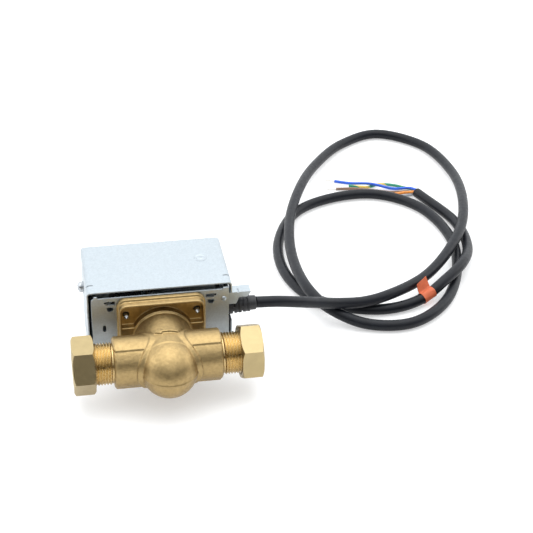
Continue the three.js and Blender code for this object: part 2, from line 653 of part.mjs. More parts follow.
function tubeAlong(points, radius, sides, steps) {
  const path = new THREE.CatmullRomCurve3(points.map((point) => new THREE.Vector3(...point)));
  const section = new THREE.Shape();
  for (let side = 0; side < sides; side += 1) {
    const angle = (side / sides) * 2 * Math.PI;
    const corner = [radius * Math.cos(angle), radius * Math.sin(angle)];
    if (side === 0) section.moveTo(...corner);
    else section.lineTo(...corner);
  }
  const options = { steps, extrudePath: path, bevelEnabled: false };
  return toSolid(new THREE.ExtrudeGeometry(section, options));
}

// ---------------------------------------------------------------- assembly
place('valve_body', valveBody(), brass);
place('seat_ring', seatRing(), turnedBrass);
place('bonnet', bonnet(), turnedBrass);
place('bonnet_seal', ringSeal(15.7, 17.3, -3.6, 0, 0, 28), blackRubber);
place('stem_seal_upper', ringSeal(3.4, 5, -9.2, 0, stem.z, 18), blackRubber);
place('stem_seal_lower', ringSeal(3.4, 5, -13.2, 0, stem.z, 18), blackRubber);
place('valve_stem', valveStem(), screwSteel);
place('paddle_arm', paddleArm(), turnedBrass);
place('rubber_ball', rubberBall(), blackRubber);
place('nut_left', compressionNut(-1, 0.6), turnedBrass);
place('nut_right', compressionNut(1, -0.02), turnedBrass);
place('olive_left', olive(-1), turnedBrass);
place('olive_right', olive(1), turnedBrass);
place('base_plate', basePlate(), zincSteel);
place('lanced_tab_left', lancedTab(-1), zincSteel);
place('lanced_tab_right', lancedTab(1), zincSteel);
flangeScrews.forEach((where, index) => place(`head_screw_${index + 1}`, headScrew(where), screwSteel));
place('cable_bracket', cableBracket(), zincSteel);
place('sector_gear', sectorGear(), zincSteel);
place('motor_pinion', motorPinion(), turnedBrass);
place('motor_plate', motorPlate(), zincSteel);
posts.forEach((where, index) => place(`motor_post_${index + 1}`, post(where), screwSteel));
place('motor_case', motorCase(), motorSteel);
place('motor_coil', motorCoil(), whitePlastic);
place('motor_rotor', motorRotor(), springSteel);
ears.forEach((where, index) => place(`motor_screw_${index + 1}`, motorScrew(where), screwSteel));
place('manual_lever', manualLever(), springSteel);
place('switch_body', switchBody(), blackPlastic);
place('switch_plunger', switchPlunger(), whitePlastic);
place('switch_lever', switchLever(), springSteel);
switchHoles.forEach((where, index) => place(`switch_screw_${index + 1}`, switchScrew(where), screwSteel));
switchHoles.forEach((where, index) => place(`switch_post_${index + 1}`, switchPost(where), screwSteel));
[-7, 0, 7].forEach((dx, index) => place(`switch_terminal_${index + 1}`, switchTerminal(dx), turnedBrass));
place('spring_post', springPost(), screwSteel);
place('return_spring', returnSpring(), springSteel);
place('cover', coverShell(), zincSteel);
place('cover_screw', coverScrew(), screwSteel);
place('cover_washer', coverWasher(), screwSteel);
place('strain_relief', strainRelief(), blackRubber);
place('cable', tubeAlong(route, flex.radius, flex.sides, flex.steps), flexJacket);
place('cable_label', cableLabel(), orangeLabel);
Object.entries(coreRoutes).forEach(([name, points]) => {
  const wire = tubeAlong(points, core.radius, core.sides, core.steps);
  place(`core_${name}`, wire, finish(coreColors[name], 0.5, 0));
});

// Stand the valve on the side of its box, with the origin under the middle of its outline.
model.position.set(0, -(cover.back + dome.tip) / 2, cover.width / 2);

export default model;
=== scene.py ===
# Looks for the motorised zone valve: a forged brass body with compression nuts, a power head in a
# zinc-plated box, and a black flex lying in two loops. Lengths are in millimetres about the valve's
# own axis (x along the pipes, y from the brass to the head, z up) until place() puts them in metres
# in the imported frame.

import math

import bmesh
import bpy
from mathutils import Matrix, Vector, noise


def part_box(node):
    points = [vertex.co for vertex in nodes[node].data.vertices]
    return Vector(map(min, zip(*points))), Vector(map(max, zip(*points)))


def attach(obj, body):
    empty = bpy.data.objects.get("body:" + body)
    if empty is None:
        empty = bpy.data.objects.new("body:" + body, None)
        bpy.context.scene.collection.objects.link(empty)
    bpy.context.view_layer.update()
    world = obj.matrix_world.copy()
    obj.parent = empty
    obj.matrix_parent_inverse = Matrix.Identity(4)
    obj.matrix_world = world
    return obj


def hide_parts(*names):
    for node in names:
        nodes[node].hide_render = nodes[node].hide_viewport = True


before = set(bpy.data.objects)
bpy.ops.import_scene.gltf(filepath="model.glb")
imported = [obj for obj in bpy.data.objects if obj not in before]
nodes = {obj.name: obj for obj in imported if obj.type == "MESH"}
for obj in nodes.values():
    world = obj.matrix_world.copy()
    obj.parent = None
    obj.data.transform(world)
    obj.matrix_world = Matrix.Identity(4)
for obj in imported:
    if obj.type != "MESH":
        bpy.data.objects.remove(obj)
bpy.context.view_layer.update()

MM = 0.001
cover_low, cover_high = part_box("cover")
COVER_FRONT = 3.0
ORIGIN = Vector((0, cover_low.y - COVER_FRONT * MM, (cover_low.z + cover_high.z) / 2))


# ---------------------------------------------------------------- camera, light and floor
def make_camera():
    """The photograph's view: a long lens from the front, a little left of and above the valve."""
    yaw, pitch, roll = (math.radians(angle) for angle in (10.66, 31.88, 1.06))
    position = Vector((-74.75, -753.45, 517.73)) * MM + ORIGIN
    forward = Vector((math.sin(yaw) * math.cos(pitch), math.cos(yaw) * math.cos(pitch), -math.sin(pitch)))
    level = Vector((math.cos(yaw), -math.sin(yaw), 0))
    upright = level.cross(forward)
    right = level * math.cos(roll) + upright * math.sin(roll)
    up = upright * math.cos(roll) - level * math.sin(roll)
    data = bpy.data.cameras.new("camera")
    data.sensor_width = 36
    data.lens = 97.3
    data.clip_start = 0.01
    camera = bpy.data.objects.new("camera", data)
    bpy.context.scene.collection.objects.link(camera)
    camera.matrix_world = Matrix((right, up, -forward)).transposed().to_4x4()
    camera.location = position
    bpy.context.scene.camera = camera


def area_light(name, place_at, aim, size, power, color=(1, 1, 1)):
    data = bpy.data.lights.new(name, "AREA")
    data.shape = "RECTANGLE"
    data.size, data.size_y = size
    data.energy = power
    data.color = color
    light = bpy.data.objects.new(name, data)
    bpy.context.scene.collection.objects.link(light)
    light.location = place_at
    light.rotation_euler = (Vector(aim) - Vector(place_at)).to_track_quat("-Z", "Y").to_euler()


def make_lights():
    area_light("overhead_softbox", (0.1, 0.3, 1.5), (0.1, 0.1, 0), (1.8, 1.4), 11)
    area_light("left_softbox", (-1.3, 0.2, 0.8), (0, 0, 0.03), (0.7, 0.7), 4, (0.96, 0.98, 1))
    area_light("right_softbox", (1.5, 0.3, 0.7), (0.1, 0.05, 0.03), (0.7, 0.7), 3, (1, 0.99, 0.97))


def make_world():
    """A studio that is bright overhead and behind the object, and dim and warm in front of it."""
    world = bpy.data.worlds.new("studio")
    bpy.context.scene.world = world
    world.use_nodes = True
    tree = world.node_tree
    background = tree.nodes["Background"]
    direction = tree.nodes.new("ShaderNodeTexCoord")
    parts = tree.nodes.new("ShaderNodeSeparateXYZ")
    height = tree.nodes.new("ShaderNodeMapRange")
    height.inputs["From Min"].default_value = 0.3
    height.inputs["From Max"].default_value = 0.85
    side = tree.nodes.new("ShaderNodeMapRange")
    side.inputs["From Min"].default_value = -0.45
    side.inputs["From Max"].default_value = 0.35
    larger = tree.nodes.new("ShaderNodeMath")
    larger.operation = "MAXIMUM"
    colors = tree.nodes.new("ShaderNodeMix")
    colors.data_type = "RGBA"
    colors.inputs["A"].default_value = (0.028, 0.023, 0.018, 1)
    colors.inputs["B"].default_value = (0.96, 0.98, 1.0, 1)
    tree.links.new(direction.outputs["Generated"], parts.inputs[0])
    tree.links.new(parts.outputs["Z"], height.inputs["Value"])
    tree.links.new(parts.outputs["Y"], side.inputs["Value"])
    tree.links.new(height.outputs["Result"], larger.inputs[0])
    tree.links.new(side.outputs["Result"], larger.inputs[1])
    tree.links.new(larger.outputs[0], colors.inputs["Factor"])
    tree.links.new(colors.outputs["Result"], background.inputs["Color"])
    background.inputs["Strength"].default_value = 1.75


def make_floor():
    mesh = bpy.data.meshes.new("floor")
    reach = 6
    corners = [(-reach, -reach, 0), (reach, -reach, 0), (reach, reach, 0), (-reach, reach, 0)]
    mesh.from_pydata(corners, [], [(0, 1, 2, 3)])
    floor = bpy.data.objects.new("floor", mesh)
    bpy.context.scene.collection.objects.link(floor)
    paint = Material("floor_white", (0.6, 0.6, 0.6), 0.8)
    paint.shader.inputs["Emission Color"].default_value = (1, 1, 1, 1)
    paint.shader.inputs["Emission Strength"].default_value = 0.42
    mesh.materials.append(paint.done())


# ---------------------------------------------------------------- materials
class Material:
    """A Principled material, with short calls that add procedural detail to its sockets."""

    def __init__(self, name, color, roughness, metallic=0.0):
        self.material = bpy.data.materials.new(name)
        self.material.use_nodes = True
        self.tree = self.material.node_tree
        self.shader = self.tree.nodes["Principled BSDF"]
        self.shader.inputs["Base Color"].default_value = (*color, 1)
        self.shader.inputs["Roughness"].default_value = roughness
        self.shader.inputs["Metallic"].default_value = metallic
        self.color = color
        self.normal = None
        self.coordinates = self.tree.nodes.new("ShaderNodeTexCoord").outputs["Object"]

    def node(self, kind, **settings):
        made = self.tree.nodes.new(kind)
        for key, value in settings.items():
            setattr(made, key, value)
        return made

    def stretched(self, scale):
        mapping = self.node("ShaderNodeMapping")
        mapping.inputs["Scale"].default_value = scale
        self.tree.links.new(self.coordinates, mapping.inputs["Vector"])
        return mapping.outputs["Vector"]

    def noise(self, grain, detail=3.0, stretch=(1, 1, 1)):
        """A noise whose blobs are about grain millimetres across."""
        texture = self.node("ShaderNodeTexNoise")
        texture.inputs["Scale"].default_value = 1 / (grain * MM)
        texture.inputs["Detail"].default_value = detail
        self.tree.links.new(self.stretched(stretch), texture.inputs["Vector"])
        return texture.outputs["Fac"]

    def cells(self, size):
        texture = self.node("ShaderNodeTexVoronoi")
        texture.inputs["Scale"].default_value = 1 / (size * MM)
        self.tree.links.new(self.coordinates, texture.inputs["Vector"])
        return texture.outputs["Color"]

    def ramp(self, value, low, high, colors):
        ramp = self.node("ShaderNodeValToRGB")
        ramp.color_ramp.elements[0].position = low
        ramp.color_ramp.elements[1].position = high
        ramp.color_ramp.elements[0].color = (*colors[0], 1)
        ramp.color_ramp.elements[1].color = (*colors[1], 1)
        self.tree.links.new(value, ramp.inputs["Fac"])
        return ramp.outputs["Color"]

    def tint(self, value, dark, light, low=0.3, high=0.7):
        """The colour wanders between dark and light, as shares of the base colour."""
        pair = [tuple(min(1, channel * share) for channel in self.color) for share in (dark, light)]
        self.tree.links.new(self.ramp(value, low, high, pair), self.shader.inputs["Base Color"])
        return self

    def rough(self, value, least, most):
        spread = self.node("ShaderNodeMapRange")
        spread.inputs["From Min"].default_value = 0.3
        spread.inputs["From Max"].default_value = 0.7
        spread.inputs["To Min"].default_value = least
        spread.inputs["To Max"].default_value = most
        self.tree.links.new(value, spread.inputs["Value"])
        self.tree.links.new(spread.outputs["Result"], self.shader.inputs["Roughness"])
        return self

    def bump(self, value, depth, strength=1.0):
        """Adds relief of about depth millimetres."""
        bump = self.node("ShaderNodeBump")
        bump.inputs["Distance"].default_value = depth * MM
        bump.inputs["Strength"].default_value = strength
        self.tree.links.new(value, bump.inputs["Height"])
        if self.normal is not None:
            self.tree.links.new(self.normal, bump.inputs["Normal"])
        self.normal = bump.outputs["Normal"]
        self.tree.links.new(self.normal, self.shader.inputs["Normal"])
        return self

    def done(self):
        return self.material


def forged_brass():
    paint = Material("cast_brass", (0.385, 0.275, 0.125), 0.37, 1)
    paint.tint(paint.noise(2.2, 4), 0.86, 1.1)
    paint.rough(paint.noise(0.9, 3), 0.32, 0.48)
    paint.bump(paint.noise(0.6, 3), 0.16, 0.8)
    paint.bump(paint.noise(4.0, 2), 0.12, 0.4)
    return paint.done()


def machined_brass():
    """Turned brass, brighter and smoother than the cast skin."""
    paint = Material("machined_brass", (0.60, 0.45, 0.22), 0.27, 1)
    paint.tint(paint.noise(6, 3), 0.93, 1.06)
    paint.rough(paint.noise(1.5, 4), 0.22, 0.34)
    paint.bump(paint.noise(3, 2), 0.03, 0.3)
    return paint.done()


def nut_brass():
    paint = Material("nut_brass", (0.40, 0.315, 0.165), 0.28, 1)
    paint.tint(paint.noise(5, 4), 0.94, 1.05)
    paint.rough(paint.noise(1.1, 4), 0.29, 0.4)
    paint.bump(paint.noise(0.45, 3), 0.03, 0.5)
    return paint.done()


def zinc_sheet(name="zinc_sheet", roughness=0.46):
    """Zinc-plated sheet: faint spangle, rolling marks and a few dull patches."""
    paint = Material(name, (0.44, 0.485, 0.515), roughness, 1)
    paint.tint(paint.cells(0.9), 0.93, 1.03, 0.1, 0.9)
    paint.rough(paint.noise(7, 5), roughness - 0.07, roughness + 0.1)
    paint.bump(paint.noise(0.5, 3, (1, 5, 5)), 0.012, 0.5)
    paint.bump(paint.noise(22, 1), 0.06, 0.15)
    return paint.done()


def plated_steel():
    paint = Material("plated_steel", (0.45, 0.47, 0.49), 0.28, 1)
    paint.tint(paint.noise(1.8, 3), 0.9, 1.05)
    paint.rough(paint.noise(0.9, 3), 0.22, 0.36)
    paint.bump(paint.noise(0.4, 2), 0.015, 0.5)
    return paint.done()


def bright_steel():
    paint = Material("bright_steel", (0.34, 0.355, 0.375), 0.3, 1)
    paint.tint(paint.noise(2.5, 4), 0.88, 1.06)
    paint.rough(paint.noise(0.8, 3, (5, 1, 1)), 0.24, 0.4)
    return paint.done()


def motor_steel():
    paint = Material("motor_steel", (0.38, 0.39, 0.40), 0.4, 1)
    paint.tint(paint.noise(8, 4), 0.9, 1.05)
    paint.rough(paint.noise(2, 4), 0.34, 0.5)
    paint.bump(paint.noise(0.6, 2), 0.02, 0.4)
    return paint.done()


def copper_winding():
    """Enamelled wire wound round the coil. The wave bands also tint the colour: painted shade in the grooves
    between turns and a painted highlight on the crests.
    """
    paint = Material("copper_winding", (0.55, 0.22, 0.09), 0.3, 1)
    wave = paint.node("ShaderNodeTexWave", bands_direction="Y")
    wave.inputs["Scale"].default_value = 1 / (2.0 * MM)
    paint.tree.links.new(paint.coordinates, wave.inputs["Vector"])
    # painted shade and highlight: the colour follows the bump's bands, darker in the grooves and lighter on
    # the crests
    paint.tint(wave.outputs["Fac"], 0.55, 1.15, 0.2, 0.8)
    paint.bump(wave.outputs["Fac"], 0.12, 0.8)
    return paint.done()


def plastic(name, color, roughness):
    paint = Material(name, color, roughness)
    paint.tint(paint.noise(3, 4), 0.88, 1.1)
    paint.rough(paint.noise(0.8, 3), roughness - 0.06, roughness + 0.08)
    paint.bump(paint.noise(0.3, 2), 0.012, 0.6)
    return paint.done()


def flex_rubber():
    paint = Material("flex_rubber", (0.003, 0.0042, 0.0075), 0.40)
    paint.shader.inputs["Specular IOR Level"].default_value = 0.28
    paint.tint(paint.noise(9, 4), 0.75, 1.3)
    paint.rough(paint.noise(2.4, 4), 0.36, 0.52)
    paint.bump(paint.noise(0.5, 3), 0.03, 0.5)
    return paint.done()


def seal_rubber():
    paint = Material("seal_rubber", (0.02, 0.021, 0.023), 0.6)
    paint.tint(paint.noise(3, 3), 0.8, 1.25)
    paint.bump(paint.noise(0.4, 3), 0.03, 0.5)
    return paint.done()


def label_paper():
    paint = Material("label_paper", (0.55, 0.118, 0.042), 0.62)
    paint.tint(paint.noise(3.5, 4), 0.86, 1.08)
    paint.bump(paint.noise(0.35, 4), 0.03, 0.7)
    return paint.done()


def striped_core():
    """Green and yellow insulation, striped along its length."""
    paint = Material("green_yellow_insulation", (0.5, 0.5, 0.1), 0.38)
    stripe = paint.node("ShaderNodeTexWave", bands_direction="DIAGONAL")
    stripe.inputs["Scale"].default_value = 1 / (26 * MM)
    stripe.inputs["Distortion"].default_value = 2.0
    paint.tree.links.new(paint.coordinates, stripe.inputs["Vector"])
    colors = paint.ramp(stripe.outputs["Fac"], 0.48, 0.52, [(0.03, 0.25, 0.14), (0.72, 0.52, 0.12)])
    paint.tree.links.new(colors, paint.shader.inputs["Base Color"])
    return paint.done()


def tinned_copper():
    paint = Material("tinned_copper", (0.78, 0.76, 0.72), 0.3, 1)
    paint.tint(paint.noise(0.8, 3), 0.8, 1.05)
    return paint.done()


# ---------------------------------------------------------------- mesh tools
def place(point):
    return Vector(point) * MM + ORIGIN


def mesh_object(name, vertices, faces):
    mesh = bpy.data.meshes.new(name)
    mesh.from_pydata([place(v) for v in vertices], [], faces)
    mesh.validate()
    made = bpy.data.objects.new(name, mesh)
    bpy.context.scene.collection.objects.link(made)
    return made


def recalculate(made):
    work = bmesh.new()
    work.from_mesh(made.data)
    bmesh.ops.remove_doubles(work, verts=work.verts, dist=1e-7)
    bmesh.ops.recalc_face_normals(work, faces=work.faces)
    work.to_mesh(made.data)
    work.free()
    return made


def block(low, high):
    vertices = [(x, y, z) for x in (low[0], high[0]) for y in (low[1], high[1]) for z in (low[2], high[2])]
    faces = [(0, 1, 3, 2), (4, 6, 7, 5), (0, 4, 5, 1), (2, 3, 7, 6), (0, 2, 6, 4), (1, 5, 7, 3)]
    return recalculate(mesh_object("block", vertices, faces))


def on_axis(axis, along, first, second):
    """A point at along on the axis; first and second are its other two coordinates, in x, y, z order."""
    return {"X": (along, first, second), "Y": (first, along, second), "Z": (first, second, along)}[axis]


def lathe(profile, axis="Y", at=(0, 0), segments=96, closed=False):
    """Turns (radius, along) points about an axis through at. A radius may be a function of the angle."""
    rings = []
    vertices = []
    for radius, along in profile:
        ring = []
        for step in range(segments if callable(radius) or radius > 0 else 1):
            angle = 2 * math.pi * step / segments
            reach = radius(angle) if callable(radius) else radius
            ring.append(len(vertices))
            place_at = (at[0] + reach * math.cos(angle), at[1] + reach * math.sin(angle))
            vertices.append(on_axis(axis, along, *place_at))
        rings.append(ring)
    pairs = list(zip(rings, rings[1:]))
    if closed:
        pairs.append((rings[-1], rings[0]))
    faces = []
    for a, b in pairs:
        for step in range(segments):
            after = (step + 1) % segments
            corners = [a[step % len(a)], a[after % len(a)], b[after % len(b)], b[step % len(b)]]
            faces.append(list(dict.fromkeys(corners)))
    return recalculate(mesh_object("lathe", vertices, [face for face in faces if len(face) > 2]))


def rod(radius, low, high, axis="Y", at=(0, 0), segments=96):
    """A plain round bar along the axis, from low to high."""
    return lathe([(0, low), (radius, low), (radius, high), (0, high)], axis, at, segments)


def extrude(outline, low, high, axis="Y"):
    """A flat outline across the axis, as thick as low..high along it."""
    count = len(outline)
    vertices = [on_axis(axis, depth, *point) for depth in (low, high) for point in outline]
    faces = [tuple(range(count)), tuple(range(2 * count - 1, count - 1, -1))]
    faces += [(i, (i + 1) % count, count + (i + 1) % count, count + i) for i in range(count)]
    return recalculate(mesh_object("extrusion", vertices, faces))


def rounded_rectangle(length, width, radius, steps=10):
    points = []
    corners = [(1, 1, 0), (-1, 1, 90), (-1, -1, 180), (1, -1, 270)]
    for side_x, side_z, start in corners:
        for step in range(steps + 1):
            angle = math.radians(start + 90 * step / steps)
            x = side_x * (length / 2 - radius) + radius * math.cos(angle)
            z = side_z * (width / 2 - radius) + radius * math.sin(angle)
            points.append((x, z))
    return points


def apply_modifiers(made):
    graph = bpy.context.evaluated_depsgraph_get()
    mesh = bpy.data.meshes.new_from_object(made.evaluated_get(graph))
    made.modifiers.clear()
    old = made.data
    made.data = mesh
    bpy.data.meshes.remove(old)
    return made


def combine(made, others, operation):
    for other in others:
        modifier = made.modifiers.new("boolean", "BOOLEAN")
        modifier.operation = operation
        modifier.solver = "MANIFOLD"
        modifier.object = other
    apply_modifiers(made)
    for other in others:
        bpy.data.objects.remove(other)
    return made


def cut(made, *cutters):
    return combine(made, cutters, "DIFFERENCE")


def union(made, *others):
    return combine(made, others, "UNION")


def keep_common(made, other):
    return combine(made, [other], "INTERSECT")


def soften(made, voxel, rounds):
    """Remeshes an even skin over the solid and relaxes it, so that every corner gets a small fillet."""
    remesh = made.modifiers.new("remesh", "REMESH")
    remesh.mode = "VOXEL"
    remesh.voxel_size = voxel * MM
    smooth = made.modifiers.new("smooth", "SMOOTH")
    smooth.factor = 0.5
    smooth.iterations = rounds
    return apply_modifiers(made)


def bevel(made, width, segments=2, angle=35):
    modifier = made.modifiers.new("bevel", "BEVEL")
    modifier.width = width * MM
    modifier.segments = segments
    modifier.limit_method = "ANGLE"
    modifier.angle_limit = math.radians(angle)
    modifier.use_clamp_overlap = True
    return apply_modifiers(made)


def shade(made, angle=35, flat_faces=True):
    """Smooth shading up to an angle. Large flat faces keep one normal, so that bevels don't tilt them."""
    for polygon in made.data.polygons:
        polygon.use_smooth = True
    made.data.set_sharp_from_angle(angle=math.radians(angle))
    if flat_faces:
        even = made.modifiers.new("even_normals", "WEIGHTED_NORMAL")
        even.weight = 80
        even.keep_sharp = True
        apply_modifiers(made)
    return made


def piece(made, name, material, body, replaced=()):
    made.name = name
    made.data.name = name
    made.data.materials.clear()
    made.data.materials.append(material)
    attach(made, body)
    if replaced:
        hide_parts(*replaced)
    return made


# ---------------------------------------------------------------- flex, label and cores
# Routes and sizes in this section are in metres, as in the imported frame. LABEL_SEAM and LABEL_GAP are
# in degrees round the flex.
FLEX_RADIUS = 0.00375
CORE_RADIUS = 0.0011
RELIEF_EXIT = (0.0628, 0.01245, 0.0365)

FLEX_ROUTE = [
    RELIEF_EXIT, (0.076, 0.01345, 0.0351), (0.092, 0.01865, 0.0297), (0.108, 0.02665, 0.0223),
    (0.124, 0.03305, 0.0161), (0.141, 0.03715, 0.0129), (0.158, 0.04265, 0.0124), (0.194, 0.06765, 0.0103),
    (0.229, 0.11165, 0.0133), (0.2475, 0.15765, 0.0125), (0.2575, 0.22465, 0.0061),
    (0.246, 0.27565, 0.00415), (0.214, 0.29915, 0.00415), (0.182, 0.28515, 0.00415),
    (0.152, 0.24765, 0.0067), (0.1295, 0.20165, 0.0115), (0.1115, 0.14865, 0.0125),
    (0.1047, 0.09865, 0.0121), (0.108, 0.05665, 0.0126), (0.118, 0.03765, 0.0095),
    (0.14, 0.02315, 0.0046), (0.17, 0.01965, 0.00415), (0.199, 0.03965, 0.00415),
    (0.2215, 0.08365, 0.00415), (0.2285, 0.12965, 0.00415), (0.217, 0.17415, 0.00415),
    (0.19, 0.19715, 0.00415), (0.158, 0.19765, 0.00415), (0.1245, 0.18065, 0.00415),
    (0.1015, 0.13765, 0.00415), (0.0985, 0.09365, 0.00415), (0.111, 0.06065, 0.00415),
    (0.133, 0.04465, 0.00415), (0.16, 0.03915, 0.00415), (0.184, 0.04515, 0.0055),
    (0.205, 0.05815, 0.0113), (0.222, 0.07515, 0.0129), (0.2355, 0.10565, 0.0076),
    (0.2385, 0.14765, 0.00415), (0.222, 0.19525, 0.00415),
]

CORE_ROUTES = {
    "blue": [(0.2217, 0.19605, 0.0062), (0.218, 0.20345, 0.0041), (0.207, 0.20915, 0.0013),
             (0.19, 0.21525, 0.0037), (0.175, 0.22295, 0.0013), (0.1635, 0.22805, 0.0013)],
    "brown": [(0.2228, 0.19655, 0.0026), (0.2155, 0.20325, 0.0013), (0.204, 0.20405, 0.0013),
              (0.1905, 0.20885, 0.0013), (0.176, 0.21365, 0.0013), (0.162, 0.21545, 0.0013)],
    "green_yellow": [(0.2235, 0.19675, 0.0048), (0.2205, 0.20565, 0.0017), (0.2085, 0.21465, 0.0013),
                     (0.197, 0.21795, 0.0013), (0.188, 0.21485, 0.0013), (0.173, 0.21895, 0.0013)],
    "grey": [(0.2207, 0.19575, 0.0026), (0.2145, 0.19725, 0.0013), (0.203, 0.19735, 0.0013),
             (0.192, 0.20225, 0.0013), (0.178, 0.20505, 0.0013), (0.166, 0.20465, 0.0013)],
    "orange": [(0.22, 0.19555, 0.0049), (0.2136, 0.20055, 0.0019), (0.2035, 0.20085, 0.0013),
               (0.1928, 0.20525, 0.0013), (0.178, 0.20785, 0.0013), (0.168, 0.20805, 0.0013)],
}
TIP_LENGTH = 0.008
TIP_RADIUS = 0.0006
LABEL_FROM, LABEL_TO = Vector((0.185, 0.04555, 0.0056)), Vector((0.1936, 0.05015, 0.0078))
LABEL_SEAM, LABEL_GAP = 128, 16
LABEL_FLAG = 0.0078
PAPER_CLEARANCE, PAPER_THICKNESS = 0.00022, 0.00014


def smooth_route(points, steps=12):
    """A centripetal Catmull-Rom curve through the points."""
    spots = [Vector(point) for point in points]
    spots = [2 * spots[0] - spots[1], *spots, 2 * spots[-1] - spots[-2]]
    curve = []
    for before, start, end, after in zip(spots, spots[1:], spots[2:], spots[3:]):
        gaps = [math.sqrt((b - a).length) for a, b in ((before, start), (start, end), (end, after))]
        leave = (start - before) / gaps[0] - (end - before) / (gaps[0] + gaps[1]) + (end - start) / gaps[1]
        arrive = (end - start) / gaps[1] - (after - start) / (gaps[1] + gaps[2]) + (after - end) / gaps[2]
        for step in range(steps):
            t = step / steps
            hermite = (1 + 2 * t) * (1 - t) ** 2 * start + t * t * (3 - 2 * t) * end
            curve.append(hermite + gaps[1] * (t * (1 - t) ** 2 * leave + t * t * (t - 1) * arrive))
    curve.append(spots[-2])
    return curve


def tube(name, points, radius, around=12):
    """A round tube as a curve of one open spline."""
    data = bpy.data.curves.new(name, "CURVE")
    data.dimensions = "3D"
    data.bevel_depth = radius
    data.bevel_resolution = around
    data.use_fill_caps = True
    spline = data.splines.new("POLY")
    spline.points.add(len(points) - 1)
    for spot, point in zip(spline.points, points):
        spot.co = (*point, 1)
    made = bpy.data.objects.new(name, data)
    bpy.context.scene.collection.objects.link(made)
    return made


def make_label(paint):
    """A paper band round the flex, with its two ends stuck together as a flag that stands up and back."""
    along = (LABEL_TO - LABEL_FROM).normalized()
    side = along.cross(Vector((0, 0, 1))).normalized()
    upward = side.cross(along)
    width = (LABEL_TO - LABEL_FROM).length
    across_steps, round_steps, flag_steps = 10, 40, 14
    rows = []
    for row in range(across_steps + 1):
        share = row / across_steps
        middle = LABEL_FROM + along * width * share
        line = []
        for step in range(round_steps + 1):
            angle = math.radians(LABEL_SEAM + LABEL_GAP / 2 + (360 - LABEL_GAP) * step / round_steps)
            wobble = 0.00012 * math.sin(5 * angle + 3 * share)
            out = FLEX_RADIUS + PAPER_CLEARANCE + wobble
            line.append(middle + (side * math.cos(angle) + upward * math.sin(angle)) * out)
        start, end = line[0], line[-1]
        seam_angle = math.radians(LABEL_SEAM)
        outward = side * math.cos(seam_angle) + upward * math.sin(seam_angle)
        for step in range(1, flag_steps + 1):
            reach = LABEL_FLAG * step / flag_steps
            curl = side * 0.0016 * (step / flag_steps) ** 2 * (1.3 - share)
            seam = 0.5 * (start + end) + outward * reach + curl + along * 0.0012 * (step / flag_steps)
            line.append(seam + (end - start).normalized() * 0.00012)
            line.insert(0, seam - (end - start).normalized() * 0.00012)
        rows.append(line)
    count = len(rows[0])
    vertices = [point for line in rows for point in line]
    faces = []
    for row in range(across_steps):
        for step in range(count - 1):
            first = row * count + step
            faces.append((first, first + 1, first + count + 1, first + count))
    mesh = bpy.data.meshes.new("flex_label")
    mesh.from_pydata(vertices, [], faces)
    made = bpy.data.objects.new("flex_label", mesh)
    bpy.context.scene.collection.objects.link(made)
    thickness = made.modifiers.new("paper", "SOLIDIFY")
    thickness.thickness = PAPER_THICKNESS
    apply_modifiers(made)
    shade(made, 50, False)
    return piece(made, "flex_label", paint, "valve_base", ["cable_label"])


def make_flex():
    """The flex with its label, and its five cores with two tinned tips."""
    label = make_label(label_paper())
    line = smooth_route(FLEX_ROUTE)
    flex = tube("flex", line, FLEX_RADIUS, 14)
    piece(flex, "flex", flex_rubber(), "valve_base", ["cable"])
    insulation = {
        "blue": plastic("blue_insulation", (0.018, 0.11, 0.62), 0.36),
        "brown": plastic("brown_insulation", (0.21, 0.13, 0.085), 0.42),
        "green_yellow": striped_core(),
        "grey": plastic("grey_insulation", (0.27, 0.28, 0.3), 0.4),
        "orange": plastic("orange_insulation", (0.7, 0.24, 0.03), 0.4),
    }
    tinned = tinned_copper()
    for color, route in CORE_ROUTES.items():
        make_core(color, smooth_route(route), insulation[color], tinned)


def make_core(color, line, paint, tinned):
    core = tube(f"core_{color}_wire", line, CORE_RADIUS, 8)
    piece(core, f"core_{color}_wire", paint, "valve_base", [f"core_{color}"])
    if color in ("blue", "brown"):
        end = line[-1]
        heading = (end - line[-4]).normalized()
        tip_line = [end + heading * TIP_LENGTH * step / 4 for step in range(5)]
        tip = tube(f"core_{color}_tip", tip_line, TIP_RADIUS, 6)
        piece(tip, f"core_{color}_tip", tinned, "valve_base")


# ---------------------------------------------------------------- brass body
PIPE_Y = -31.5
BARREL_HALF = 33.4
BARREL_RADIUS = 16.3
FRONT_RADIUS = 15.6
NECK_RADIUS = 18.4
DOME_START, DOME_TIP = -41, -61.8
THREAD_ROOT, THREAD_CREST, THREAD_PITCH, THREAD_END = 12.2, 13.2, 1.814, 50
NUT_START, NUT_END, NUT_FLATS = 44.8, 58.2, 32
SOCKET_RADIUS = 11.1
WATERWAY_RADIUS = 9.5
SCREW_HOLE_RADIUS = 1.9
FLANGE_SCREWS = ((-22.3, 16), (22.3, 16), (22.3, -16), (-22.3, -16))


def barrel_profile(radius):
    edge = 1.2
    return [(0, -BARREL_HALF), (radius - edge, -BARREL_HALF), (radius, edge - BARREL_HALF),
            (radius, BARREL_HALF - edge), (radius - edge, BARREL_HALF), (0, BARREL_HALF)]


def dome_profile(radius, start, tip, steps=24):
    profile = []
    for step in range(steps + 1):
        angle = math.pi / 2 * step / steps
        profile.append((radius * math.sin(angle), start - (start - tip) * math.cos(angle)))
    return profile


def flow_arrow():
    """A slim raised arrow lying on the neck, pointing along the flow."""
    outline = [(-7.2, -29), (-3, -26.2), (-3, -27.9), (7.6, -27.9), (7.6, -30.1), (-3, -30.1), (-3, -31.8)]
    column = extrude(outline, 8, 26, "Z")
    crest = NECK_RADIUS + 1.3
    return keep_common(column, rod(crest, -36, -20))


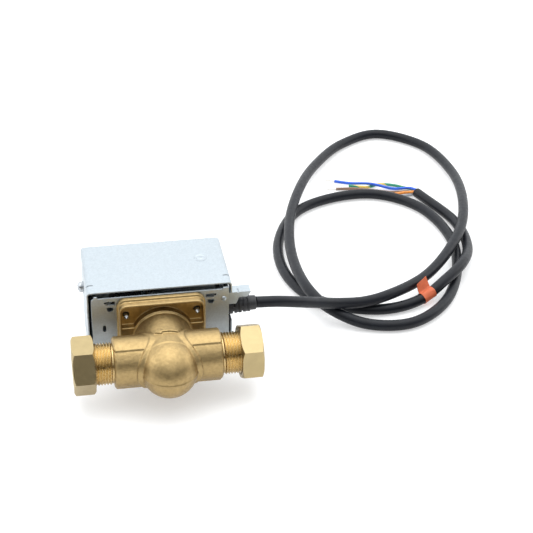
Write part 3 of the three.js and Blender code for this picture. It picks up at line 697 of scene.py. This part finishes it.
def flange_blank():
    foot = extrude(rounded_rectangle(56, 53, 6), -3.5, -0.3)
    rim = extrude(rounded_rectangle(53.2, 50.2, 4.6), -8.2, -3.2)
    blank = union(foot, rim)
    for side in (-1, 1):
        recess = extrude(rounded_rectangle(51.0, 47.2, 4.2), -20, -3.6)
        near, far = sorted((side * 8.8, side * 40))
        blank = cut(blank, keep_common(recess, block((-40, -30, near), (40, 0, far))))
    return blank


def parting_line():
    """The thin ridge that the two halves of the forging die leave round the dome."""
    ridge = lathe([*dome_profile(18.45, DOME_START, DOME_TIP - 0.35), (18.45, -34), (0, -34)])
    return keep_common(ridge, block((-30, -64, -0.5), (30, -30, 0.5)))


def barrels():
    slim = lathe(barrel_profile(FRONT_RADIUS), "X", (PIPE_Y, 0), 128)
    back = lathe(barrel_profile(BARREL_RADIUS), "X", (PIPE_Y, 0), 128)
    return union(slim, cut(back, block((-60, -60, -14.1), (60, PIPE_Y, 14.1))))


def forging_blank():
    dome = lathe([*dome_profile(18, DOME_START, DOME_TIP), (18, -30), (0, -30)], segments=128)
    lip = NECK_RADIUS + 1.2
    neck_profile = [(0, -40), (NECK_RADIUS, -40), (NECK_RADIUS, -8.8), (lip, -8.2), (lip, -1), (0, -1)]
    neck = lathe(neck_profile, segments=128)
    collar = rod(20, -60, -14, segments=128)
    belt = rod(BARREL_RADIUS + 0.9, -30, 30, "X", (PIPE_Y, 0), 128)
    swelling = keep_common(collar, belt)
    blank = union(flange_blank(), neck, swelling, dome, barrels(), flow_arrow(), parting_line())
    return cut(blank, *body_bores())


def body_bores():
    """The ball chamber, the waterway through both barrels, and the four screw holes."""
    inner_dome = dome_profile(16, DOME_START, -59.2)[1:]
    chamber = [(0, -59), *inner_dome, (16, -6.5), (17.6, -6.5), (17.6, 1), (0, 1)]
    bores = [lathe(chamber)]
    bores.append(rod(WATERWAY_RADIUS, -70, 70, "X", (PIPE_Y, 0), 64))
    for x, z in FLANGE_SCREWS:
        bores.append(rod(SCREW_HOLE_RADIUS, -12, 2, "Y", (x, z), 24))
    return bores


def roughen(made, depth, grain):
    """Gives a cast skin real relief of about depth millimetres."""
    normals = [vertex.normal.copy() for vertex in made.data.vertices]
    for vertex, normal in zip(made.data.vertices, normals):
        spot = vertex.co / (grain * MM)
        swell = noise.noise(spot) + 0.5 * noise.noise(spot * 2.3)
        vertex.co += normal * (swell * depth * MM)
    return made


def make_forging(paint):
    body = roughen(soften(forging_blank(), 0.38, 4), 0.05, 1.3)
    shade(body, 60, False)
    piece(body, "forged_body", paint, "valve_base", ["valve_body"])


def clamp(value):
    return min(1, max(0, value))


def thread_radius(along):
    """The thread's radius at along, as a function of the angle. It fades out at both ends."""
    run_out = clamp((along - BARREL_HALF - 0.5) / 0.9) * clamp((THREAD_END - 0.1 - along) / 1.1)

    def radius(angle):
        share = (along / THREAD_PITCH - angle / (2 * math.pi)) % 1
        tooth = clamp(2.4 * abs(share - 0.5) - 0.1)
        return THREAD_ROOT + (THREAD_CREST - THREAD_ROOT) * tooth * run_out

    return radius


def make_thread(side, paint):
    """The male thread winds round the pipe end as a helix, and the pipe socket is inside it."""
    start = BARREL_HALF - 0.6
    socket_floor = 36
    profile = [(WATERWAY_RADIUS, start), (WATERWAY_RADIUS, socket_floor), (SOCKET_RADIUS, socket_floor),
               (SOCKET_RADIUS, THREAD_END - 2), (THREAD_ROOT - 0.3, THREAD_END)]
    steps = 140
    for step in range(steps + 1):
        along = THREAD_END + (start - THREAD_END) * step / steps
        profile.append((thread_radius(along), along))
    tube_end = lathe(profile, "X", (PIPE_Y, 0), 144, closed=True)
    mirror_to(tube_end, side)
    shade(tube_end, 80, False)
    piece(tube_end, f"thread_{side_name(side)}", paint, "valve_base", ["valve_body"])


def side_name(side):
    return "left" if side < 0 else "right"


def mirror_to(made, side):
    """Reflects a piece that was built on the right to the left side of the valve."""
    if side < 0:
        made.data.transform(Matrix.Diagonal((-1, 1, 1, 1)))
        made.data.flip_normals()
    return made


def make_nut(side, turn, paint):
    """A hexagon nut with turned chamfers at both ends, bored for the pipe."""
    start, end = NUT_START, NUT_END
    corner = NUT_FLATS / math.sqrt(3)
    outline = []
    for index in range(6):
        angle = turn + math.pi / 6 + index * math.pi / 3
        outline.append((PIPE_Y + corner * math.cos(angle), corner * math.sin(angle)))
    hexagon = extrude(outline, start, end, "X")
    crown = [(0, start), (corner - 2.1, start), (corner + 0.1, start + 1.25), (corner + 0.1, end - 1.25),
             (corner - 2.1, end), (0, end)]
    hexagon = keep_common(hexagon, lathe(crown, "X", (PIPE_Y, 0), 160))
    hole = [(0, start - 1), (14.6, start - 1), (14.4, start), (13.45, start + 1), (13.45, 52), (11.3, 54.6),
            (11.3, end - 0.5), (11.8, end), (11.8, end + 1), (0, end + 1)]
    nut = cut(hexagon, lathe(hole, "X", (PIPE_Y, 0), 128))
    mirror_to(nut, side)
    bevel(nut, 0.28, 3, 24)
    shade(nut, 30)
    name = side_name(side)
    piece(nut, f"compression_nut_{name}", paint, f"{name}_nut", [f"nut_{name}"])


# ---------------------------------------------------------------- sheet-steel box
COVER_HALF = 45.8
COVER_TOP = 29.5
COVER_BACK = 60.5
WALL = 0.8
COVER_SCREW = (46, 7.6)
PLATE_THICKNESS = 1.2


def folded_box(length, width, corner, front, back, fold):
    """A block with rounded long corners, whose edges at the back are folded over with a small radius."""
    steps = 6
    stations = [(front, 0)]
    for step in range(steps + 1):
        angle = math.pi / 2 * step / steps
        stations.append((back - fold + fold * math.sin(angle), fold * (1 - math.cos(angle))))
    rings = []
    for y, inset in stations:
        outline = rounded_rectangle(length - 2 * inset, width - 2 * inset, max(corner - inset, 0.3), 8)
        rings.append([(x, y, z) for x, z in outline])
    count = len(rings[0])
    vertices = [point for ring in rings for point in ring]
    faces = [tuple(range(count)), tuple(range(len(vertices) - 1, len(vertices) - count - 1, -1))]
    for ring in range(len(rings) - 1):
        for step in range(count):
            after = (step + 1) % count
            first = ring * count
            faces.append((first + step, first + after, first + count + after, first + count + step))
    return recalculate(mesh_object("folded_box", vertices, faces))


def round_mark():
    """A plain pressed disc on the lid, with a raised rim."""
    rim = [(0, 29.2), (4.1, 29.2), (4.1, 29.55), (3.8, 29.78), (3.3, 29.78), (3.0, 29.6), (2.2, 29.6),
           (1.9, 29.74), (0, 29.74)]
    return lathe(rim, "Z", (30, 35), 64)


def make_cover(paint):
    shell = folded_box(2 * COVER_HALF, 2 * COVER_TOP, 2.4, COVER_FRONT, COVER_BACK, 1.7)
    hollow = folded_box(2 * COVER_HALF - 2 * WALL, 2 * COVER_TOP - 2 * WALL, 1.6, -2, COVER_BACK - WALL, 0.9)
    tools = [hollow, block((-47, 2, -26), (-44, 6.6, 18)), block((44, 2, 0.4), (47, 18.8, 21.6))]
    tools.append(rod(2.4, -47, -44, "X", COVER_SCREW, 40))
    for side in (-1, 1):
        near, far = sorted((side * 41.2, side * 47))
        tools.append(block((near, 11.6, 28), (far, 12.4, 30.6)))
    cut(shell, *tools)
    union(shell, round_mark())
    bevel(shell, 0.16, 2, 40)
    shade(shell, 32)
    piece(shell, "folded_cover", paint, "cover_shell", ["cover"])


def make_cover_screw(paint):
    """A pan-head screw with a cross recess, and the shank behind it."""
    head, tip = -47.0, -43.6
    profile = [(0, tip), (1.7, tip), (1.7, head), (3.65, head), (3.65, head - 0.7), (3.3, head - 1.5),
               (2.4, head - 2.2), (1.2, head - 2.6), (0, head - 2.7)]
    screw = lathe(profile, "X", COVER_SCREW, 64)
    y, z = COVER_SCREW
    for half_y, half_z in ((1.9, 0.38), (0.38, 1.9)):
        cut(screw, block((head - 4, y - half_y, z - half_z), (head - 1.3, y + half_y, z + half_z)))
    bevel(screw, 0.1, 2, 40)
    shade(screw, 32)
    piece(screw, "cover_pan_screw", paint, "cover_screw", ["cover_screw"])


def make_cover_washer(paint):
    outer = -COVER_HALF - 0.3
    profile = [(2, outer), (3.9, outer), (3.9, outer - 0.6), (2, outer - 0.6)]
    ring = lathe(profile, "X", COVER_SCREW, 64, closed=True)
    bevel(ring, 0.12, 2, 40)
    shade(ring, 32)
    piece(ring, "cover_plain_washer", paint, "cover_washer", ["cover_washer"])


def plate_blank():
    """The plate with the bump and the step that the lid is pushed over, and the ear for the screw."""
    panel = extrude(rounded_rectangle(86.6, 53.2, 1.5), 0, PLATE_THICKNESS)
    bump = extrude([(-42.4, 26), (-41.4, 27.9), (-39.8, 27.9), (-38.8, 26)], 0, PLATE_THICKNESS)
    step = extrude([(39.2, 26), (39.8, 27.6), (43.3, 27.6), (43.3, 26)], 0, PLATE_THICKNESS)
    ear = block((-43.3, 0, 2), (-42.1, 54, 20))
    return union(panel, bump, step, ear)


def make_base_plate(paint):
    plate = plate_blank()
    tools = [block((-44.5, 1.5, 0), (-40.5, 6.2, 12.5))]
    for side in (-1, 1):
        tools.append(rod(0.8, -1, 3, "Y", (side * 34.6, 23.3), 24))
        window = rod(2.1, -1, 3, "Y", (side * 31.7, 18.8), 48)
        tools.append(keep_common(window, block((-50, -2, 10), (50, 4, 19.9))))
        near, far = sorted((side * 28.6, side * 33.8))
        tools.append(block((near, -1, 21.6), (far, 3, 24.2)))
    slot = [(-36.8, 2.8), (-36.5, 2.1), (-35.8, 1.8), (-35.1, 2.1), (-34.8, 2.8), (-34.8, 5.8), (-35.1, 6.5),
            (-35.8, 6.8), (-36.5, 6.5), (-36.8, 5.8)]
    tools.append(extrude(slot, -1, 3))
    tools.append(rod(8, -1, 3, "Y", (0, -9), 64))
    for x, z in FLANGE_SCREWS:
        tools.append(rod(SCREW_HOLE_RADIUS, -1, 3, "Y", (x, z), 24))
    cut(plate, *tools)
    dome = [(0, -0.95), (0.9, -0.8), (1.5, -0.4), (1.75, 0.1), (1.2, 0.4), (0, 0.4)]
    union(plate, lathe(dome, "Y", (40, 19.7), 40))
    bevel(plate, 0.14, 2, 40)
    shade(plate, 32)
    piece(plate, "head_base_plate", paint, "valve_base", ["base_plate"])


def make_bracket(paint):
    """The sheet bracket beside the relief: a face with a stepped end, a foot and a turned lip."""
    outline = [(35.4, 12.4), (48.6, 12.4), (49.4, 14.2), (50.4, 17.2), (55.6, 17.2), (57.6, 19.4),
               (58, 21), (35.4, 21)]
    face = extrude(outline, 4, 4.9)
    lip = block((41, 4, 20.1), (58, 12, 21))
    foot = block((35.4, 1.5, 12.4), (38.4, 4.9, 21))
    bracket = union(face, lip, foot)
    cut(bracket, block((49.5, 3, 20.5), (50.3, 8, 22)))
    bevel(bracket, 0.22, 3, 40)
    shade(bracket, 35)
    piece(bracket, "flex_bracket", paint, "valve_base", ["cable_bracket"])


def make_relief(paint):
    """The moulded relief: a flange held by the bracket, and ribs joined by webs in turn."""
    y, z = 11.8, 7
    bore, core = 3.78, 4.8
    profile = [(bore, 39), (5.2, 39), (5.2, 43.8), (6.2, 44.2), (6.2, 47), (core, 47.3)]
    ribs = [(48.4, 5.9), (51.2, 5.8), (54.0, 5.6), (56.8, 5.5)]
    for x, radius in ribs:
        profile += [(core, x), (radius, x + 0.15), (radius, x + 1.55), (core, x + 1.7)]
    profile += [(4.7, 62), (4.4, 62.5), (bore, 62.5)]
    relief = lathe(profile, "X", (y, z), 72, closed=True)
    webs = []
    for index, (x, radius) in enumerate(ribs):
        half = (1.5, radius - 0.2) if index % 2 else (radius - 0.2, 1.5)
        web = block((x - 1.4, y - half[0], z - half[1]), (x + 0.4, y + half[0], z + half[1]))
        webs.append(cut(web, rod(4.2, 40, 64, "X", (y, z), 48)))
    union(relief, *webs)
    bevel(relief, 0.2, 2, 40)
    shade(relief, 40)
    piece(relief, "ribbed_relief", paint, "valve_base", ["strain_relief"])


# ---------------------------------------------------------------- inside the head
MOTOR_FACE = 18.9


def motor_ear(x, z, degrees):
    """A flat strap from the motor's axis to a round ear, where one of its screws goes."""
    angle = math.radians(degrees)
    outward = Vector((math.cos(angle), math.sin(angle)))
    sideways = Vector((-outward.y, outward.x))
    low, high, reach = MOTOR_FACE, MOTOR_FACE + 1, 26.5
    ear = rod(3, low, high, "Y", (x + reach * outward.x, z + reach * outward.y), 48)
    corners = ((0, -9), (reach, -3), (reach, 3), (0, 9))
    outline = [Vector((x, z)) + outward * along + sideways * across for along, across in corners]
    return union(extrude(outline, low, high), ear)


def make_motor(steel, copper):
    x, z, radius = 17.5, 3, 23.5
    profile = [(0, MOTOR_FACE), (25, MOTOR_FACE), (25, 19.9), (23.8, 19.9), (radius, 20.4),
               (radius, 48.3), (23, 49.5), (22, 50), (7, 50), (6.4, 49.4), (0, 49.4)]
    can = lathe(profile, "Y", (x, z), 128)
    for degrees in (155, -25):
        union(can, motor_ear(x, z, degrees))
    hollow = rod(22.5, 26.9, 49, "Y", (x, z), 96)
    window = block((-12.5, 41, -5), (2.5, 46, 11))
    cut(can, hollow, window)
    bevel(can, 0.25, 2, 40)
    shade(can, 32)
    piece(can, "motor_can", steel, "valve_base", ["motor_case"])
    spool = [(10.2, 27.4), (21.8, 27.4), (21.8, 28.6), (20.9, 28.9), (20.9, 46.9), (21.8, 47.2),
             (21.8, 48.3), (10.2, 48.3)]
    coil = lathe(spool, "Y", (x, z), 96, closed=True)
    shade(coil, 32)
    piece(coil, "motor_winding", copper, "valve_base", ["motor_coil"])


def make_spring(paint):
    """The return spring's close coils, with a hook at each end."""
    start, end = Vector((0, 11.7, -22)), Vector((30, 11.7, -23))
    along = (end - start).normalized()
    back = Vector((0, 1, 0))
    across = back.cross(along)
    coils, steps, radius = 16, 22, 2.0
    reach = (end - start).length
    points = [start + across * 1.2, start + along * 1.5 + across * 1.6]
    for step in range(coils * steps + 1):
        angle = 2 * math.pi * step / steps
        travel = 3.2 + (reach - 6.4) * step / (coils * steps)
        round_it = across * math.cos(angle) + back * math.sin(angle)
        points.append(start + along * travel + round_it * radius)
    points += [end - along * 1.5 + across * 1.6, end + across * 1.2]
    spring = tube("wire_spring", [place(point) for point in points], 0.00032, 4)
    piece(spring, "wire_spring", paint, "valve_base", ["return_spring"])


def dress_cad_nodes(finishes):
    """Every CAD node that still shows gets the procedural finish of its slot and slightly broken edges."""
    for node in nodes.values():
        if node.hide_render:
            continue
        slot_name = node.data.materials[0].name
        node.data.materials[0] = finishes[slot_name]
        edge = node.modifiers.new("broken_edge", "BEVEL")
        edge.width = 0.12 * MM
        edge.segments = 2
        edge.limit_method = "ANGLE"
        edge.angle_limit = math.radians(40)


# ---------------------------------------------------------------- the scene
def build():
    make_camera()
    make_flex()
    finishes = {
        "forged_brass": forged_brass(),
        "turned_brass": machined_brass(),
        "zinc_plated_sheet": zinc_sheet(),
        "plated_steel": plated_steel(),
        "spring_steel": bright_steel(),
        "motor_steel": motor_steel(),
        "copper_winding": copper_winding(),
        "black_plastic": plastic("black_plastic", (0.022, 0.022, 0.024), 0.5),
        "white_plastic": plastic("white_plastic", (0.78, 0.75, 0.68), 0.45),
        "seal_rubber": seal_rubber(),
        "relief_rubber": plastic("relief_rubber", (0.018, 0.019, 0.022), 0.48),
    }
    make_forging(finishes["forged_brass"])
    nuts = nut_brass()
    for side, turn in ((-1, 0.6), (1, -0.02)):
        make_thread(side, finishes["turned_brass"])
        make_nut(side, turn, nuts)
    make_cover(zinc_sheet("cover_zinc", 0.44))
    make_cover_screw(finishes["plated_steel"])
    make_cover_washer(finishes["plated_steel"])
    make_base_plate(finishes["zinc_plated_sheet"])
    make_bracket(finishes["zinc_plated_sheet"])
    make_relief(finishes["relief_rubber"])
    make_motor(finishes["motor_steel"], finishes["copper_winding"])
    make_spring(finishes["spring_steel"])
    dress_cad_nodes(finishes)
    make_floor()
    make_world()
    make_lights()
    bpy.context.scene.view_settings.view_transform = "Standard"


build()
